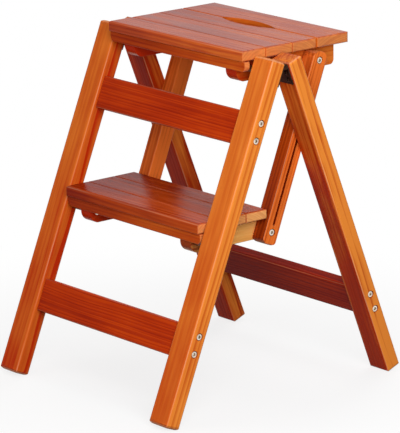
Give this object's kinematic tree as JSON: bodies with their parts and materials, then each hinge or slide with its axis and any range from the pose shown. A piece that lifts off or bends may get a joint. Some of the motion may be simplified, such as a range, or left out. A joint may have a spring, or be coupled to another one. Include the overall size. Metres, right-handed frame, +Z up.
{
  "type": "folding step stool chair",
  "caption": "Wooden stool with a slatted seat and a lower slatted step on two hinged frames; seat, step and side links form a parallelogram that folds flat.",
  "frame": {"origin": "on the floor, in the middle of the feet", "axes": "+Z up, +Y to the back, +X to the right as seen from the front, where the step is"},
  "size_m": [0.38, 0.436, 0.5],
  "materials": {
    "lacquered_pine": "red-brown stained pine under satin-gloss lacquer",
    "zinc_steel": "zinc-plated, bright",
    "nickel_steel": "nickel-plated, dull",
    "pale_plastic": "matte nylon"
  },
  "bodies": {
    "front_frame": {"front_leg_right": "lacquered_pine", "front_leg_left": "lacquered_pine", "upper_crosspiece": "lacquered_pine", "upper_crosspiece_screw_1_right": "zinc_steel", "upper_crosspiece_screw_1_left": "zinc_steel", "upper_crosspiece_screw_2_right": "zinc_steel", "upper_crosspiece_screw_2_left": "zinc_steel", "lower_crosspiece": "lacquered_pine", "lower_crosspiece_screw_1_right": "zinc_steel", "lower_crosspiece_screw_1_left": "zinc_steel", "lower_crosspiece_screw_2_right": "zinc_steel", "lower_crosspiece_screw_2_left": "zinc_steel", "seat_pivot_spacer_right": "pale_plastic", "seat_pivot_spacer_left": "pale_plastic", "seat_pivot_bolt_right": "zinc_steel", "seat_pivot_bolt_left": "zinc_steel", "step_pivot_spacer_right": "pale_plastic", "step_pivot_spacer_left": "pale_plastic", "step_pivot_bolt_right": "zinc_steel", "step_pivot_bolt_left": "zinc_steel", "hinge_front_leaf_right": "nickel_steel", "hinge_front_leaf_left": "nickel_steel", "hinge_pin_right": "nickel_steel", "hinge_pin_left": "nickel_steel"},
    "rear_frame": {"rear_leg_right": "lacquered_pine", "rear_leg_left": "lacquered_pine", "rear_crosspiece": "lacquered_pine", "rear_crosspiece_screw_1_right": "zinc_steel", "rear_crosspiece_screw_1_left": "zinc_steel", "rear_crosspiece_screw_2_right": "zinc_steel", "rear_crosspiece_screw_2_left": "zinc_steel", "hinge_rear_leaf_right": "nickel_steel", "hinge_rear_leaf_left": "nickel_steel", "guide_pin_right": "zinc_steel", "guide_pin_left": "zinc_steel"},
    "seat": {"seat_slat_1": "lacquered_pine", "seat_slat_2": "lacquered_pine", "seat_slat_3": "lacquered_pine", "seat_slat_4": "lacquered_pine", "seat_apron": "lacquered_pine", "seat_cleat_right": "lacquered_pine", "seat_cleat_left": "lacquered_pine", "seat_link_bolt_right": "zinc_steel", "seat_link_bolt_left": "zinc_steel", "seat_link_nut_right": "zinc_steel", "seat_link_nut_left": "zinc_steel"},
    "step": {"step_slat_1": "lacquered_pine", "step_slat_2": "lacquered_pine", "step_slat_3": "lacquered_pine", "step_apron": "lacquered_pine", "step_cleat_right": "lacquered_pine", "step_cleat_left": "lacquered_pine", "step_link_bolt_right": "zinc_steel", "step_link_bolt_left": "zinc_steel", "step_link_nut_right": "zinc_steel", "step_link_nut_left": "zinc_steel"},
    "link_right": {"link_right": "lacquered_pine"},
    "link_left": {"link_left": "lacquered_pine"}
  },
  "joints": [
    {"name": "seat_fold", "type": "hinge", "parent": "front_frame", "child": "seat", "pos_m": [0, -0.01469, 0.471], "axis": [1, 0, 0], "range_deg": [0, 55.9]},
    {"name": "step_fold", "type": "hinge", "parent": "front_frame", "child": "step", "pos_m": [0, -0.10579, 0.238], "axis": [1, 0, 0], "range_deg": [0, 55.9]},
    {"name": "right_link_turn", "type": "hinge", "parent": "seat", "child": "link_right", "pos_m": [0, 0.10301, 0.467], "axis": [1, 0, 0], "range_deg": [-55.9, 0]},
    {"name": "left_link_turn", "type": "hinge", "parent": "seat", "child": "link_left", "pos_m": [0, 0.10301, 0.467], "axis": [1, 0, 0], "range_deg": [-55.9, 0]},
    {"name": "rear_frame_fold", "type": "hinge", "parent": "front_frame", "child": "rear_frame", "pos_m": [0, 0.0043, 0.4786], "axis": [1, 0, 0], "range_deg": [-43.5, 0]}
  ],
  "couplings": [
    {"joint": "step_fold", "follows": "seat_fold", "ratio": 1},
    {"joint": "right_link_turn", "follows": "seat_fold", "ratio": -1},
    {"joint": "left_link_turn", "follows": "seat_fold", "ratio": -1},
    {"joint": "rear_frame_fold", "follows": "seat_fold", "ratio": -0.777}
  ]
}
